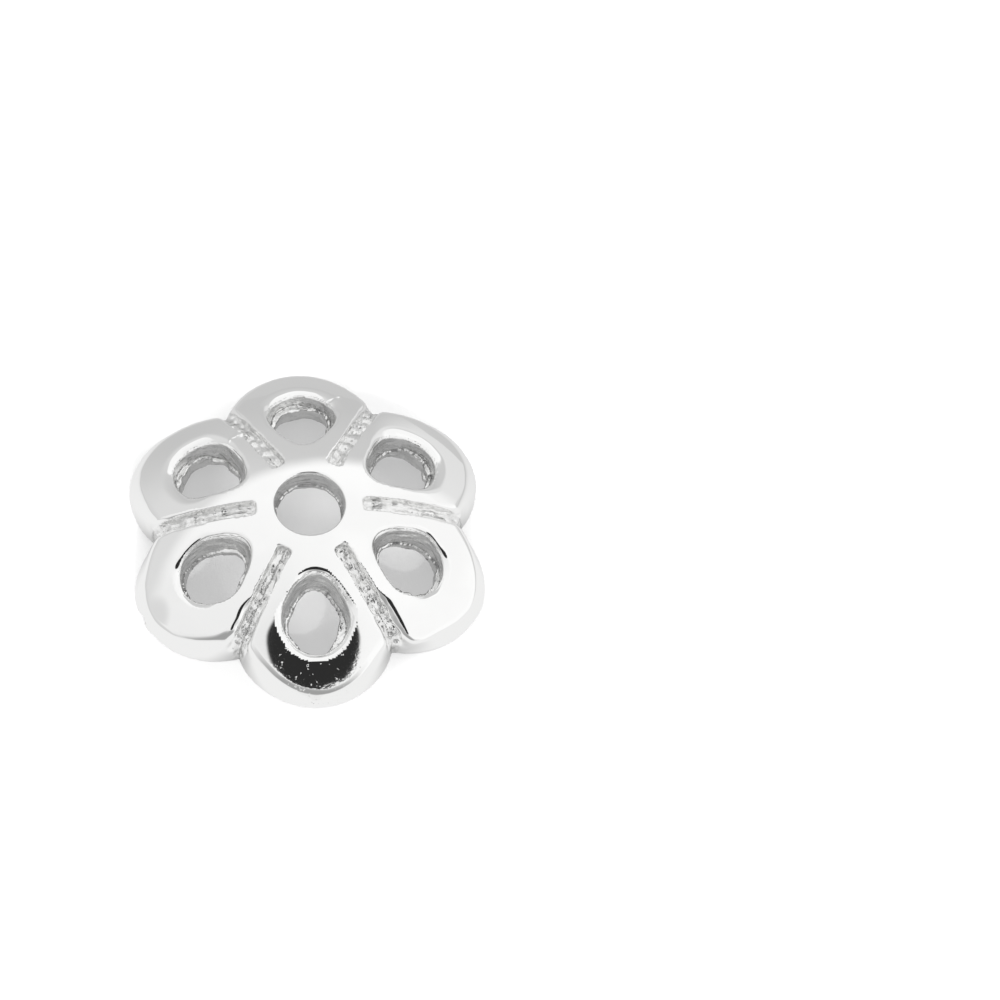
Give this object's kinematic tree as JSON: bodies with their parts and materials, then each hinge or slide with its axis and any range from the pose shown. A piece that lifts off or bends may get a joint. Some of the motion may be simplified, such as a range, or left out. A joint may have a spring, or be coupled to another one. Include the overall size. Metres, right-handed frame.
{
  "type": "bead cap",
  "caption": "Domed flower bead cap with pierced petals round a thread hole, hollow underneath to sit over the end of a round bead.",
  "frame": {"origin": "on the thread hole's axis, at the level of the rim's flat foot, where the cap stands", "axes": "+Z along the thread hole, away from the bead; -Y and +Y each run along the middle of a petal"},
  "size_m": [0.0092, 0.01, 0.002],
  "materials": {
    "plated_metal": "bright silver plate on a cast zinc alloy, polished on the petals and the hub, rough as cast in the grooves and the walls of the holes"
  },
  "bodies": {
    "root": {"flower_cap": "plated_metal"}
  },
  "joints": []
}
